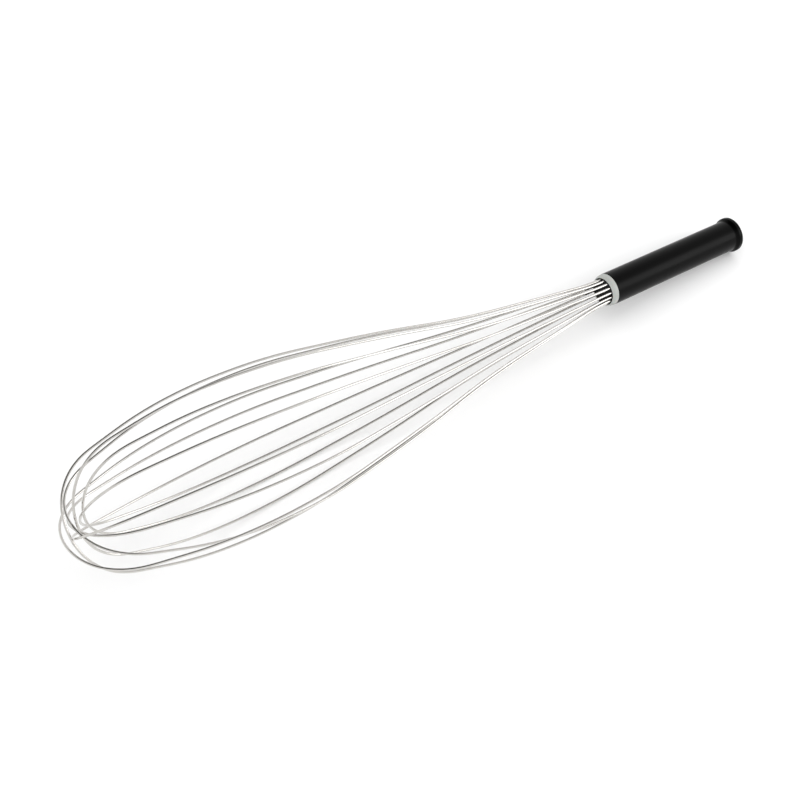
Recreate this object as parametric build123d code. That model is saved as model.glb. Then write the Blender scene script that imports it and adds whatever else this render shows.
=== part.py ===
from build123d import *
from math import cos, radians, sin, tan
import os

# Balloon whisk: eight sprung loops of round wire in a moulded tube handle. Each
# loop is one wire, kept as three solids end to end so that it can be followed
# closely round the open space inside the balloon.
# Millimetres. Every piece is drawn round the X axis with the wires leaving the
# collar at x = 0: the handle runs to +X and the loops run to -X. At the end the
# whole whisk is laid down the way it rests on a table, +Z up.

os.makedirs("parts", exist_ok=True)

# Wire loops
WIRE_RADIUS = 1.0
RING_RADIUS = 10.3  # circle on which the strands leave the collar
LOOP_COUNT = 8
STRAND_STEP = 180 / LOOP_COUNT  # both strands of a loop take a place in the ring
RING_START = -59.0  # angle of the first strand, from -Y toward +Z
STUB_END = 47.9  # how far the strands reach into the handle
STRAIGHT_OUT = 12.0  # strand in front of the collar before its first bend
TWIST_REACH = 180.0  # the loops swing round the axis over this length
SPRING_LENGTH = 483.0  # the leans and the curl come to their full value here
BEND_SHARE = 0.48  # part of each run that its end bends take up
BOW_CORNER = 4  # the bow begins in the straight run before this corner

# Outline of the balloon as the corners of a polygon that the bends round off:
# distance in front of the collar, distance from the axis.
OUTLINE = [
    (STRAIGHT_OUT, RING_RADIUS),
    (143, 28.5),
    (218, 46.5),
    (314.5, 63.5),
    (373.5, 65.5),
    (420, 61),
    (478, 45),
    (497, 18.5),
]

# The loops are sprung by hand, so no two are alike. In ring order: twist round
# the axis near the collar and curl toward the tip in degrees, lean of the tip
# to the side and upward, extra reach at the tip, extra width in percent.
LOOPS = [
    (11, 4, -2, 0, 10.5, -7.5),
    (3, 35.5, -2, 1, 5.5, -9.5),
    (20, 5, 8, -8.5, 14.5, 0.5),
    (11, 8, -4, -4.5, 3.5, -12),
    (12.5, 5.5, 4, -4, 7.5, 0),
    (8, 4, -4.5, 7.5, -2.5, 9.5),
    (2, 9, -11, 7, -7, 3),
    (-3, 11, -7.5, 5.5, 1.5, 3),
]

# Handle tube, flared to a rim at the butt
MOUTH = 5.6  # the collar stands out of the handle by this much
MOUTH_RADIUS = 14.0
SEAT_RADIUS = 12.95  # seat of the collar's spigot
SEAT_END = 14.0
BORE_RADIUS = 12.2
FLARE = 147.6
FLARE_RADIUS = 13.65
RIM = 150.6
RIM_RADIUS = 15.5
BUTT = 154.6
CAP_SEAT = 150.0
CAP_SEAT_RADIUS = 12.7

# Collar and the potting inside it
COLLAR_INNER = 12.0
SPIGOT_RADIUS = 12.9
COLLAR_LIP = 12.3
COLLAR_SHOULDER = 2.4
SHOULDER_RADIUS = 13.6
SEAL_RADIUS = 11.95
SEAL_FRONT = 0.8
HOLE_RADIUS = 1.03

# Core that spreads the strands, and the bands that bind them to it
CORE_RADIUS = 10.0
CORE_START = 14.1
CORE_FLANGE = 48.0
CORE_END = 52.0
FLANGE_RADIUS = 12.15
BAND_INNER = 11.38
BAND_OUTER = 12.0
BAND_WIDTH = 6.0
FRONT_BAND = 16.0
REAR_BAND = 32.0

# End cap, domed with a flat crown, and its seal
CAP_RADIUS = 12.6
CAP_BACK = 150.05
CAP_EDGE = 153.2
CAP_CROWN = 154.2
CAP_FLAT = 6.0
PLUG_START = 141.0
PLUG_RADIUS = 12.1
PLUG_BORE = 9.0
PLUG_DEPTH = 8.0
GROOVE = 144.0
GROOVE_WIDTH = 2.4
GROOVE_RADIUS = 10.6
SEAL_GAP = 0.05

# Lying on a table, the whisk touches it with the handle's rim and the two
# lowest loops: the handle points down by the pitch.
REST_PITCH = 5.67
REST_ROLL = -1.3


def turned(*corners):
    """Solid turned round the X axis: distance along it, radius, bend."""
    outline = FilletPolyline(
        *[(x, radius) for x, radius, bend in corners],
        radius=[bend for x, radius, bend in corners],
        close=True,
    )
    return revolve(make_face(outline), Axis.X)


def ring(start, width, inner, outer, bend=0):
    """Ring round the X axis with its edges rounded by the bend."""
    end = start + width
    return turned(
        (start, inner, bend),
        (end, inner, bend),
        (end, outer, bend),
        (start, outer, bend),
    )


def on_circle(radius, angle):
    """Point of the YZ plane, with the angle from -Y toward +Z."""
    return Vector(0, -radius * cos(radians(angle)), radius * sin(radians(angle)))


def strand_angle(place):
    """Angle of one of the sixteen strands where they leave the collar."""
    return RING_START + STRAND_STEP * place


def bend_radii(corners):
    """Radius of each bend, so that it takes its share of the shorter run."""
    last = len(corners) - 2
    radii = []
    for here in range(1, last + 1):
        before = corners[here] - corners[here - 1]
        after = corners[here + 1] - corners[here]
        length = BEND_SHARE * min(before.length, after.length)
        if here in (1, last):
            length = 0.95 * STRAIGHT_OUT
        radii.append(length / tan(radians(before.get_angle(after)) / 2))
    return radii


def wire(corners, radii):
    """Round wire along a polygon with rounded bends."""
    path = FilletPolyline(*corners, radius=radii)
    section = Plane(origin=path @ 0, z_dir=path % 0) * Circle(WIRE_RADIUS)
    return sweep(section, path=path)


def wire_loop(place):
    """One loop: its two legs and the bow at the tip, joined end to end."""
    twist, curl, side, up, reach, width = LOOPS[place]
    near = []
    far = []
    for distance, radius in OUTLINE:
        bent = distance - STRAIGHT_OUT
        share = bent / SPRING_LENGTH
        swing = min(bent / TWIST_REACH, 1)
        angle = strand_angle(place) + curl * share**3
        angle += twist * swing**2 * (3 - 2 * swing)
        spread = RING_RADIUS + (radius - RING_RADIUS) * (1 + width / 100)
        middle = Vector(-distance - reach * share**2, -side * share**2, up * share**2)
        near.append(middle + on_circle(spread, angle))
        far.append(middle - on_circle(spread, angle))
    near.insert(0, Vector(STUB_END, near[0].Y, near[0].Z))
    far.insert(0, Vector(STUB_END, far[0].Y, far[0].Z))
    corners = near + far[::-1]
    radii = bend_radii(corners)
    first = BOW_CORNER
    last = len(corners) - BOW_CORNER
    near_cut = (corners[first - 1] + corners[first]) / 2
    far_cut = (corners[last - 1] + corners[last]) / 2
    bow = [near_cut] + corners[first:last] + [far_cut]
    return {
        "first_leg": wire(corners[:first] + [near_cut], radii[: first - 1]),
        "bow": wire(bow, radii[first - 1 : last - 1]),
        "second_leg": wire([far_cut] + corners[last:], radii[last - 1 :]),
    }


def cut_strand_holes(solid, start, end):
    """The solid without the room the sixteen strands take in it."""
    rod = extrude(Plane.YZ * Circle(HOLE_RADIUS), amount=end - start)
    for place in range(2 * LOOP_COUNT):
        centre = on_circle(RING_RADIUS, strand_angle(place))
        solid -= Pos(start, centre.Y, centre.Z) * rod
    return solid


def handle_grip():
    """Smooth tube with a seat for the collar and one for the end cap."""
    return turned(
        (MOUTH, SEAT_RADIUS, 0),
        (MOUTH, MOUTH_RADIUS, 0.4),
        (FLARE, FLARE_RADIUS, 3),
        (RIM, RIM_RADIUS, 1.2),
        (BUTT, RIM_RADIUS, 1.2),
        (BUTT, CAP_SEAT_RADIUS, 0.6),
        (CAP_SEAT, CAP_SEAT_RADIUS, 0),
        (CAP_SEAT, BORE_RADIUS, 0),
        (SEAT_END, BORE_RADIUS, 0),
        (SEAT_END, SEAT_RADIUS, 0),
    )


def front_collar():
    """Ring in the handle's mouth, with a bevelled front and a spigot."""
    return turned(
        (0, COLLAR_INNER, 0),
        (0, COLLAR_LIP, 0.2),
        (COLLAR_SHOULDER, SHOULDER_RADIUS, 0.8),
        (MOUTH, MOUTH_RADIUS, 0.3),
        (MOUTH, SPIGOT_RADIUS, 0),
        (SEAT_END, SPIGOT_RADIUS, 0),
        (SEAT_END, COLLAR_INNER, 0),
    )


def mouth_seal():
    """Potting that fills the collar between the strands."""
    plug = Pos(SEAL_FRONT, 0, 0) * extrude(
        Plane.YZ * Circle(SEAL_RADIUS), amount=SEAT_END - SEAL_FRONT
    )
    return cut_strand_holes(plug, 0, SEAT_END + 1)


def wire_core():
    """Grooved core with a flange behind the strands' ends."""
    core = turned(
        (CORE_START, 0, 0),
        (CORE_START, CORE_RADIUS, 0),
        (CORE_FLANGE, CORE_RADIUS, 0),
        (CORE_FLANGE, FLANGE_RADIUS, 0),
        (CORE_END, FLANGE_RADIUS, 0.8),
        (CORE_END, 0, 0),
    )
    return cut_strand_holes(core, CORE_START - 1, CORE_FLANGE)


def end_cap():
    """Cap in the rim with a hollow plug and a groove for its seal."""
    groove_end = GROOVE + GROOVE_WIDTH
    return turned(
        (CAP_CROWN, 0, 0),
        (CAP_CROWN, CAP_FLAT, 40),
        (CAP_EDGE, CAP_RADIUS, 0.6),
        (CAP_BACK, CAP_RADIUS, 0),
        (CAP_BACK, PLUG_RADIUS, 0),
        (groove_end, PLUG_RADIUS, 0),
        (groove_end, GROOVE_RADIUS, 0),
        (GROOVE, GROOVE_RADIUS, 0),
        (GROOVE, PLUG_RADIUS, 0),
        (PLUG_START, PLUG_RADIUS, 0.5),
        (PLUG_START, PLUG_BORE, 0),
        (PLUG_START + PLUG_DEPTH, PLUG_BORE, 0),
        (PLUG_START + PLUG_DEPTH, 0, 0),
    )


def cap_seal():
    """Seal in the end cap's groove."""
    return ring(
        GROOVE + SEAL_GAP,
        GROOVE_WIDTH - 2 * SEAL_GAP,
        GROOVE_RADIUS + SEAL_GAP,
        BORE_RADIUS - SEAL_GAP,
        0.5,
    )


pieces = {
    "handle_grip": handle_grip(),
    "end_cap": end_cap(),
    "cap_seal": cap_seal(),
    "front_collar": front_collar(),
    "mouth_seal": mouth_seal(),
    "wire_core": wire_core(),
    "front_band": ring(FRONT_BAND, BAND_WIDTH, BAND_INNER, BAND_OUTER),
    "rear_band": ring(REAR_BAND, BAND_WIDTH, BAND_INNER, BAND_OUTER),
}
for place in range(LOOP_COUNT):
    for name, piece in wire_loop(place).items():
        pieces[f"wire_loop_{place + 1}_{name}"] = piece

# Lay the whisk down and set it on the table round its middle.
rest = Rot(Y=REST_PITCH) * Rot(X=REST_ROLL)
box = Compound([rest * piece for piece in pieces.values()]).bounding_box()
table = Pos(-box.center().X, -box.center().Y, -box.min.Z)
for name, piece in pieces.items():
    export_step(table * rest * piece, f"parts/{name}.step")
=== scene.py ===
import math

import bpy
import numpy as np
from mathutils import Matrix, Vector


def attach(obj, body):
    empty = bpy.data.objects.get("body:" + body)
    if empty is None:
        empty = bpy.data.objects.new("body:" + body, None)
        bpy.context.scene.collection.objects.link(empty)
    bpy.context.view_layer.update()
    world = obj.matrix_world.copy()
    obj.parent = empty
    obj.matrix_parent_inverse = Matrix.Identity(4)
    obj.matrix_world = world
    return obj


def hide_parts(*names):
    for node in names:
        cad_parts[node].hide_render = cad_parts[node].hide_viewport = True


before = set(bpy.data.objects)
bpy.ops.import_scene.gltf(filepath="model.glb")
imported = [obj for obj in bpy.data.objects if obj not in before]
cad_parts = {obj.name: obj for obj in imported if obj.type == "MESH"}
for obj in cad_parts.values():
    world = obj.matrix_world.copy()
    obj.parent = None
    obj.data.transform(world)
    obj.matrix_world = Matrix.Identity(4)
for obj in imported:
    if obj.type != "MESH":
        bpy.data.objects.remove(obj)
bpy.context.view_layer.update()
scene = bpy.context.scene

# The CAD solids of each loop, end to end
LOOP_PARTS = ("first_leg", "bow", "second_leg")
LOOP_COUNT = 8

# Wire, in metres
WIRE_RADIUS = 0.001
WIRE_SIDES = 24
WIRE_STEP = 0.0025  # between the rings of the drawn wire
WIRE_EASE = 0.008  # length over which a change of curvature is spread
PLAIN_END = 0.05  # at each end the wire keeps the CAD line exactly
PLAIN_FADE = 0.04  # and then eases over this length
SAME_RING = 1.5e-4  # vertices whose centres are closer than this are one ring
RING_VERTICES = 24  # fewer vertices than this are no whole ring
PAINT_SHIFT = 1.7  # metres between the wires in their paint, so no two are alike

# The tent is dark round this direction, nearly overhead. The levels are pairs of
# the cosine of the angle from there and the brightness, which is full at less.
DARK_TOWARD = (-0.12, 0.2, 0.97)
WALL_LEVELS = [(0.5, 1.0), (0.64, 0.8), (0.74, 0.35), (0.82, 0.03)]
DARKEST = 0.02

FLOOR_HALF = 8.0
AIM = (0, 0, 0.05)  # middle of the whisk, where the lights point

# Camera: metres, degrees, and millimetres for the lens and its sensor
CAMERA_PLACE = (-0.5986, -0.6741, 1.0464)
CAMERA_TURN = (40.90, -2.51, -36.77)
LENS = 76.5
SENSOR = 36.0


# ---------------------------------------------------------------- materials


class Paint:
    """One procedural material, built node by node."""

    def __init__(self, name, **shader):
        self.material = bpy.data.materials.new(name)
        self.material.use_nodes = True
        self.tree = self.material.node_tree
        self.shader = self.tree.nodes["Principled BSDF"]
        for socket, value in shader.items():
            self.shader.inputs[socket.replace("_", " ")].default_value = value

    def node(self, kind, inputs=(), **settings):
        made = self.tree.nodes.new("ShaderNode" + kind)
        for key, value in settings.items():
            setattr(made, key, value)
        for socket, value in dict(inputs).items():
            if isinstance(value, bpy.types.NodeSocket):
                self.tree.links.new(value, made.inputs[socket])
            else:
                made.inputs[socket].default_value = value
        return made

    def place(self, scale=(1, 1, 1)):
        """Position on the piece, in metres times the scale."""
        coordinates = self.node("TexCoord").outputs["Object"]
        return self.node("Mapping", {"Vector": coordinates, "Scale": scale}).outputs["Vector"]

    def noise(self, vector, scale, detail=3, roughness=0.55):
        inputs = {
            "Vector": vector,
            "Scale": scale,
            "Detail": detail,
            "Roughness": roughness,
        }
        return self.node("TexNoise", inputs).outputs["Fac"]

    def ramp(self, value, low, high, to_low=0.0, to_high=1.0):
        inputs = {
            "Value": value,
            "From Min": low,
            "From Max": high,
            "To Min": to_low,
            "To Max": to_high,
        }
        return self.node("MapRange", inputs).outputs["Result"]

    def mix(self, factor, first, second):
        made = self.node("Mix", data_type="RGBA")
        for socket, value in ((0, factor), (6, first), (7, second)):
            if isinstance(value, bpy.types.NodeSocket):
                self.tree.links.new(value, made.inputs[socket])
            else:
                made.inputs[socket].default_value = value
        return made.outputs[2]

    def math(self, operation, *values):
        made = self.node("Math", operation=operation)
        for index, value in enumerate(values):
            if isinstance(value, bpy.types.NodeSocket):
                self.tree.links.new(value, made.inputs[index])
            else:
                made.inputs[index].default_value = value
        return made.outputs[0]

    def bump(self, *layers):
        """Bumps on bumps: (height, distance in metres, strength)."""
        normal = None
        for height, distance, strength in layers:
            inputs = {"Height": height, "Distance": distance, "Strength": strength}
            if normal is not None:
                inputs["Normal"] = normal
            normal = self.node("Bump", inputs).outputs["Normal"]
        self.tree.links.new(normal, self.shader.inputs["Normal"])

    def drive(self, socket, output):
        self.tree.links.new(output, self.shader.inputs[socket])


def grey(value, warmth=0.0):
    return (value * (1 + warmth), value, value * (1 - warmth), 1)


def stainless_wire():
    """Bright drawn wire: die lines along it, fine scuffs and handling haze."""
    paint = Paint("stainless_wire", Metallic=1.0)
    along = paint.node("Attribute", attribute_name="wire_place").outputs["Vector"]

    def scaled(*scale):
        return paint.node("Mapping", {"Vector": along, "Scale": scale}).outputs["Vector"]

    drawn = scaled(1, 1, 0.02)
    lines = paint.noise(drawn, 9.0, 4, 0.6)
    fine = paint.noise(drawn, 26.0, 2, 0.6)
    haze = paint.noise(scaled(0.3, 0.3, 0.12), 1.3, 3)
    scuffs = paint.noise(along, 7.0, 5, 0.7)
    dull, bright = (0.58, 0.565, 0.54, 1), (0.68, 0.665, 0.64, 1)
    tone = paint.mix(paint.ramp(lines, 0.3, 0.7), dull, bright)
    hazy = (0.53, 0.51, 0.48, 1)
    tone = paint.mix(paint.ramp(haze, 0.45, 0.8, 0.0, 0.35), tone, hazy)
    paint.drive("Base Color", tone)
    worn = paint.ramp(haze, 0.3, 0.8, 0.05, 0.14)
    scuffed = paint.ramp(scuffs, 0.55, 0.8, 0.0, 0.08)
    paint.drive("Roughness", paint.math("ADD", worn, scuffed))
    paint.bump((lines, 0.00002, 0.5), (fine, 0.00001, 0.4), (scuffs, 0.00001, 0.25))
    return paint.material


def moulded_black(name, tone, low, high, grain):
    """Satin black moulding: spark-eroded grain, flow tone and rubbed patches."""
    paint = Paint(name, Specular_IOR_Level=0.08)
    place = paint.place()
    flow = paint.noise(paint.place((18, 60, 60)), 1.0, 4)
    pores = paint.noise(place, 2600.0, 3, 0.65)
    pebbles = paint.node("TexVoronoi", {"Vector": place, "Scale": 1500.0}).outputs["Distance"]
    rubbed = paint.noise(paint.place((22, 40, 40)), 1.0, 5, 0.6)
    lighter = grey(tone * 1.35, 0.02)
    paint.drive("Base Color", paint.mix(paint.ramp(flow, 0.3, 0.7), grey(tone, 0.01), lighter))
    satin = paint.ramp(rubbed, 0.3, 0.75, low, high)
    porous = paint.ramp(pores, 0.4, 0.7, -0.03, 0.05)
    paint.drive("Roughness", paint.math("ADD", satin, porous))
    paint.bump((pebbles, 0.00004, grain), (pores, 0.00003, grain))
    return paint.material


def moulded_grey():
    """Light grey nylon collar: faint flow tone and a very fine satin grain."""
    skin = {"Subsurface_Weight": 0.06, "Subsurface_Scale": 0.0015}
    paint = Paint("moulded_grey", Specular_IOR_Level=0.45, **skin)
    place = paint.place()
    flow = paint.noise(paint.place((40, 120, 120)), 1.0, 4)
    grain = paint.noise(place, 3000.0, 2, 0.6)
    dust = paint.noise(place, 260.0, 6, 0.7)
    dull, bright = (0.36, 0.375, 0.355, 1), (0.42, 0.435, 0.415, 1)
    tone = paint.mix(paint.ramp(flow, 0.3, 0.7), dull, bright)
    tone = paint.mix(paint.ramp(dust, 0.60, 0.78, 0.0, 0.35), tone, (0.30, 0.30, 0.28, 1))
    paint.drive("Base Color", tone)
    paint.drive("Roughness", paint.ramp(flow, 0.3, 0.7, 0.38, 0.5))
    paint.bump((grain, 0.00003, 0.3), (dust, 0.00004, 0.15))
    return paint.material


def black_mouth_face():
    """Nearly black, glossy face filling the mouth inside the collar, with a slow surface
    ripple.
    """
    paint = Paint("black_mouth_face", Specular_IOR_Level=0.1)
    place = paint.place()
    cloud = paint.noise(place, 500.0, 4)
    ripple = paint.noise(place, 180.0, 3)
    pits = paint.noise(place, 2200.0, 2)
    tone = paint.mix(paint.ramp(cloud, 0.3, 0.7), grey(0.002), grey(0.006, 0.03))
    paint.drive("Base Color", tone)
    paint.drive("Roughness", paint.ramp(cloud, 0.3, 0.7, 0.22, 0.42))
    paint.bump((ripple, 0.0002, 0.4), (pits, 0.00003, 0.3))
    return paint.material


def plain_moulding():
    """Unpigmented nylon core."""
    paint = Paint("plain_moulding", Subsurface_Weight=0.1, Subsurface_Scale=0.002)
    place = paint.place()
    flow = paint.noise(paint.place((60, 60, 60)), 1.0, 4)
    grain = paint.noise(place, 2500.0, 3)
    paint.drive("Base Color", paint.mix(flow, (0.62, 0.60, 0.54, 1), (0.70, 0.68, 0.62, 1)))
    paint.drive("Roughness", paint.ramp(grain, 0.3, 0.7, 0.38, 0.52))
    paint.bump((grain, 0.00003, 0.3))
    return paint.material


def rolled_strip():
    """Rolled steel strip of the bands, with lines round it."""
    paint = Paint("rolled_strip", Metallic=1.0)
    lines = paint.noise(paint.place((2200, 60, 60)), 1.0, 4)
    haze = paint.noise(paint.place((120, 120, 120)), 1.0, 3)
    paint.drive("Base Color", paint.mix(lines, grey(0.50, 0.01), grey(0.66, 0.01)))
    paint.drive("Roughness", paint.ramp(haze, 0.3, 0.7, 0.24, 0.4))
    paint.bump((lines, 0.00003, 0.4))
    return paint.material


def soft_rubber():
    """Soft black rubber with a dusty bloom."""
    paint = Paint("soft_rubber", Specular_IOR_Level=0.35)
    place = paint.place()
    bloom = paint.noise(place, 300.0, 5)
    grain = paint.noise(place, 2600.0, 3)
    paint.drive("Base Color", paint.mix(paint.ramp(bloom, 0.4, 0.8), grey(0.016), grey(0.05)))
    paint.drive("Roughness", paint.ramp(bloom, 0.3, 0.7, 0.6, 0.8))
    paint.bump((grain, 0.00004, 0.4))
    return paint.material


# -------------------------------------------------------------- wire pieces


def rings_of(node):
    """Each ring of vertices of a CAD tube as (centre, direction), in order."""
    mesh = node.data
    places = np.array([v.co for v in mesh.vertices], float)
    normals = np.zeros_like(places)
    corners = np.array([c.vector for c in mesh.corner_normals], float)
    owners = np.array([c.vertex_index for c in mesh.loops])
    np.add.at(normals, owners, corners)
    normals /= np.linalg.norm(normals, axis=1)[:, None]
    centres = places - WIRE_RADIUS * normals
    group = list(range(len(places)))

    def root(i):
        while group[i] != i:
            group[i] = group[group[i]]
            i = group[i]
        return i

    same = {}
    for i, place in enumerate(np.round(places * 1e6).astype(int)):
        group[root(i)] = root(same.setdefault(tuple(place), i))
    edges = np.array([e.vertices for e in mesh.edges])
    gap = np.linalg.norm(centres[edges[:, 0]] - centres[edges[:, 1]], axis=1)
    for a, b in edges[gap < SAME_RING]:
        group[root(a)] = root(b)
    names = np.array([root(i) for i in range(len(places))])
    rings = {}
    for name in np.unique(names):
        inside = centres[names == name]
        if len(inside) >= RING_VERTICES:
            around = places[names == name] - inside.mean(0)
            rings[name] = (inside.mean(0), np.linalg.svd(around)[2][2])
    beside = {name: set() for name in rings}
    for a, b in edges:
        a, b = names[a], names[b]
        if a != b and a in rings and b in rings:
            beside[a].add(b)
            beside[b].add(a)
    here = min(name for name in rings if len(beside[name]) == 1)
    path, before = [here], None
    while len(path) < len(rings):
        here, before = next(n for n in beside[here] if n != before), here
        path.append(here)
    return [rings[name] for name in path]


def chained(nodes):
    """The rings of CAD tubes that meet end to end, without those at the joints."""
    tubes = [rings_of(node) for node in nodes]

    def gap(ring, tube):
        """Distance from a ring to the nearer end of a tube."""
        return min(np.linalg.norm(ring[0] - end[0]) for end in (tube[0], tube[-1]))

    rings = tubes[0]
    if gap(rings[0], tubes[1]) < gap(rings[-1], tubes[1]):
        rings = rings[::-1]
    for tube in tubes[1:]:
        here = rings[-1][0]
        if np.linalg.norm(tube[-1][0] - here) < np.linalg.norm(tube[0][0] - here):
            tube = tube[::-1]
        rings = rings[:-1] + tube[1:]
    return rings


def smooth_line(rings):
    """Points about WIRE_STEP apart along the smooth curve through the rings."""
    points = []
    for (a, da), (b, db) in zip(rings, rings[1:]):
        chord = b - a
        size = np.linalg.norm(chord)
        da = da * np.sign(da @ chord) * size
        db = db * np.sign(db @ chord) * size
        count = max(1, round(size / WIRE_STEP))
        for t in np.arange(count) / count:
            # Hermite weights: the curve leaves a along da and meets b along db
            h1, h2 = 2 * t**3 - 3 * t**2 + 1, t**3 - 2 * t**2 + t
            h3, h4 = -2 * t**3 + 3 * t**2, t**3 - t**2
            points.append(h1 * a + h2 * da + h3 * b + h4 * db)
    points.append(rings[-1][0])
    return np.array(points)


def eased(points):
    """The line with sudden changes of curvature spread out, its ends kept."""
    reach = int(3 * WIRE_EASE / WIRE_STEP)
    weights = np.exp(-0.5 * (np.arange(-reach, reach + 1) * WIRE_STEP / WIRE_EASE) ** 2)
    weights /= weights.sum()

    def blur(line):
        padded = np.pad(line, ((reach, reach), (0, 0)), "edge")
        return np.array([np.convolve(padded[:, k], weights, "valid") for k in range(3)]).T

    # The second blur puts back most of the size that the first one takes away
    once = blur(points)
    soft = once + blur(points - once)
    order = np.arange(len(points))
    from_end = np.minimum(order, order[::-1]) * WIRE_STEP
    share = np.clip((from_end - PLAIN_END) / PLAIN_FADE, 0, 1)[:, None]
    return points + (soft - points) * share


def wire_piece(name, nodes, start):
    """Round wire along the CAD tubes' own line, with a place on it to paint by."""
    line = eased(smooth_line(chained(nodes)))
    tangents = np.gradient(line, axis=0)
    tangents /= np.linalg.norm(tangents, axis=1)[:, None]
    side = np.cross(tangents[0], [0, 0, 1.0])
    side /= np.linalg.norm(side)
    turns = 2 * np.pi * np.arange(WIRE_SIDES) / WIRE_SIDES
    vertices, places = [], []
    length = start
    for k, (point, tangent) in enumerate(zip(line, tangents)):
        side = side - tangent * (side @ tangent)
        side /= np.linalg.norm(side)
        other = np.cross(tangent, side)
        ring = np.outer(np.cos(turns), side) + np.outer(np.sin(turns), other)
        vertices.append(point + WIRE_RADIUS * ring)
        length += np.linalg.norm(point - line[k - 1]) if k else 0
        places.append(np.c_[np.cos(turns), np.sin(turns), np.full(WIRE_SIDES, length * 1000)])
    count = len(line)
    faces = []
    for k in range(count - 1):
        for j in range(WIRE_SIDES):
            a, b = k * WIRE_SIDES + j, k * WIRE_SIDES + (j + 1) % WIRE_SIDES
            faces.append((a, b, b + WIRE_SIDES, a + WIRE_SIDES))
    faces.append(tuple(range(WIRE_SIDES))[::-1])
    faces.append(tuple(range((count - 1) * WIRE_SIDES, count * WIRE_SIDES)))
    mesh = bpy.data.meshes.new(name)
    mesh.from_pydata(np.concatenate(vertices).tolist(), [], faces)
    mesh.attributes.new("wire_place", "FLOAT_VECTOR", "POINT").data.foreach_set(
        "vector", np.concatenate(places).astype(np.float32).ravel()
    )
    mesh.validate()
    mesh.shade_smooth()
    piece = bpy.data.objects.new(name, mesh)
    scene.collection.objects.link(piece)
    return piece


# ------------------------------------------------------------ build the look

wire_paint = stainless_wire()
for index in range(LOOP_COUNT):
    loop = f"wire_loop_{index + 1}"
    names = [f"{loop}_{part}" for part in LOOP_PARTS]
    tubes = [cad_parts[name] for name in names]
    piece = wire_piece(f"drawn_{loop}", tubes, index * PAINT_SHIFT)
    piece.data.materials.append(wire_paint)
    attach(piece, "root")
    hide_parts(*names)

handle_black = moulded_black("handle_black", tone=0.0004, low=0.28, high=0.36, grain=0.10)
cap_black = moulded_black("cap_black", tone=0.001, low=0.42, high=0.54, grain=0.35)
PAINTS = {
    "handle_grip": (handle_black, "handle_plastic"),
    "end_cap": (cap_black, "cap_plastic"),
    "cap_seal": (soft_rubber(), "seal_rubber"),
    "front_collar": (moulded_grey(), "collar_plastic"),
    "mouth_seal": (black_mouth_face(), "potting"),
    "wire_core": (plain_moulding(), "core_plastic"),
    "front_band": (rolled_strip(), "band_steel"),
    "rear_band": (rolled_strip(), "band_steel"),
}
for name, (material, slot) in PAINTS.items():
    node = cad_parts[name]
    node.data.materials.clear()
    node.data.materials.append(material)


# ------------------------------------------------------------ stage and light


def pale_floor():
    """White table surface, much larger than the view."""
    mesh = bpy.data.meshes.new("floor")
    sides = ((-1, -1), (1, -1), (1, 1), (-1, 1))
    corners = [(x * FLOOR_HALF, y * FLOOR_HALF, 0) for x, y in sides]
    mesh.from_pydata(corners, [], [(0, 1, 2, 3)])
    floor = bpy.data.objects.new("floor", mesh)
    scene.collection.objects.link(floor)
    paint = Paint("pale_floor", Roughness=0.9, Specular_IOR_Level=0.1)
    mottle = paint.noise(paint.place(), 6.0, 3)
    paint.drive("Base Color", paint.mix(mottle, grey(0.90), grey(0.92)))
    mesh.materials.append(paint.material)


def softbox(name, azimuth, elevation, distance, size, power, glossy=True):
    """Square soft light aimed at the middle of the whisk. Azimuth 0 is at -Y."""
    light = bpy.data.lights.new(name, "AREA")
    light.shape = "SQUARE"
    light.size = size
    light.energy = power
    lamp = bpy.data.objects.new(name, light)
    a, e = math.radians(azimuth), math.radians(elevation)
    back = Vector((math.sin(a) * math.cos(e), -math.cos(a) * math.cos(e), math.sin(e)))
    lamp.location = Vector(AIM) + back * distance
    lamp.rotation_mode = "QUATERNION"
    lamp.rotation_quaternion = back.to_track_quat("Z", "Y")
    lamp.visible_glossy = glossy
    lamp.visible_camera = False
    scene.collection.objects.link(lamp)


def studio_world():
    """Photo tent: white walls round the whisk, a dark opening nearly overhead."""
    world = bpy.data.worlds.new("studio")
    world.use_nodes = True
    tree = world.node_tree
    background = tree.nodes["Background"]
    place = tree.nodes.new("ShaderNodeTexCoord")
    angle = tree.nodes.new("ShaderNodeVectorMath")
    angle.operation = "DOT_PRODUCT"
    angle.inputs[1].default_value = Vector(DARK_TOWARD).normalized()
    ramp = tree.nodes.new("ShaderNodeValToRGB")
    tree.links.new(place.outputs["Generated"], angle.inputs[0])
    tree.links.new(angle.outputs["Value"], ramp.inputs["Fac"])
    tree.links.new(ramp.outputs["Color"], background.inputs["Color"])
    stops = ramp.color_ramp.elements
    stops[0].position, stops[0].color = 0.0, grey(1.0)
    stops[1].position, stops[1].color = 1.0, grey(DARKEST)
    for position, level in WALL_LEVELS:
        stops.new(position).color = grey(level)
    background.inputs["Strength"].default_value = 1.0
    scene.world = world


def photo_camera():
    """Camera above and in front of the loops, turned a little about its view."""
    lens = bpy.data.cameras.new("camera")
    lens.sensor_width = SENSOR
    lens.lens = LENS
    lens.clip_start, lens.clip_end = 0.05, 50.0
    camera = bpy.data.objects.new("camera", lens)
    camera.location = CAMERA_PLACE
    camera.rotation_euler = [math.radians(turn) for turn in CAMERA_TURN]
    scene.collection.objects.link(camera)
    scene.camera = camera


pale_floor()
studio_world()
softbox("key_light", azimuth=54, elevation=20, distance=1.7, size=0.85, power=6)
softbox("top_light", azimuth=0, elevation=88, distance=1.8, size=3.6, power=50, glossy=False)
photo_camera()
scene.view_settings.view_transform = "Standard"
